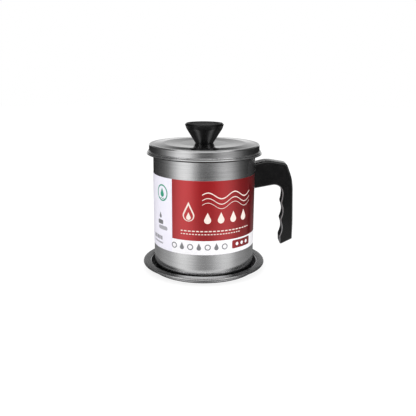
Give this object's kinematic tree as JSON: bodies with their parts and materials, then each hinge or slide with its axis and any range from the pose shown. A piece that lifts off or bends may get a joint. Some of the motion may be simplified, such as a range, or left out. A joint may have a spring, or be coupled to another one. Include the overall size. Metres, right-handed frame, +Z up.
{
  "type": "bacon grease container",
  "caption": "Steel oil strainer pot on a saucer, with a side handle, a drop-in mesh strainer, a paper label band and a lid with a conical knob.",
  "frame": {"origin": "centre of the saucer's underside, on the surface the pot stands on", "axes": "+Z up along the pot's axis; +X towards the side handle; -Y is the front, where the red label panel is"},
  "size_m": [0.176, 0.1438, 0.17],
  "materials": {
    "saucer_steel": "bright drawn steel, finely brushed in circles",
    "pot_steel": "bright steel outside, finely brushed round the body; dark non-stick coating inside",
    "label_paper": null,
    "bracket_steel": "plain pressed steel",
    "handle_phenolic": "black moulded phenolic, satin",
    "fastener_steel": "zinc-plated steel",
    "strainer_steel": "bright drawn steel",
    "mesh_steel": "fine woven stainless wire",
    "lid_steel": "bright drawn steel, nearly mirror-bright on top",
    "knob_phenolic": "black moulded phenolic, semi-gloss",
    "insert_brass": "turned brass"
  },
  "bodies": {
    "saucer": {"saucer": "saucer_steel"},
    "pot": {"pot_body": "pot_steel", "label_band": "label_paper", "handle_bracket": "bracket_steel", "bracket_nut": "bracket_steel", "handle": "handle_phenolic", "handle_screw": "fastener_steel", "handle_washer": "fastener_steel"},
    "strainer": {"strainer_cup": "strainer_steel", "strainer_mesh": "mesh_steel", "mesh_ring": "strainer_steel"},
    "lid": {"lid": "lid_steel", "knob": "knob_phenolic", "knob_cap": "knob_phenolic", "knob_insert": "insert_brass", "knob_screw": "fastener_steel", "knob_washer": "fastener_steel"}
  },
  "joints": [
    {"name": "pot_lift", "type": "slide", "parent": "saucer", "child": "pot", "axis": [0, 0, 1], "range_m": [0, 0.04]},
    {"name": "strainer_lift", "type": "slide", "parent": "pot", "child": "strainer", "axis": [0, 0, 1], "range_m": [0, 0.06]},
    {"name": "lid_lift", "type": "slide", "parent": "strainer", "child": "lid", "axis": [0, 0, 1], "range_m": [0, 0.04]}
  ]
}
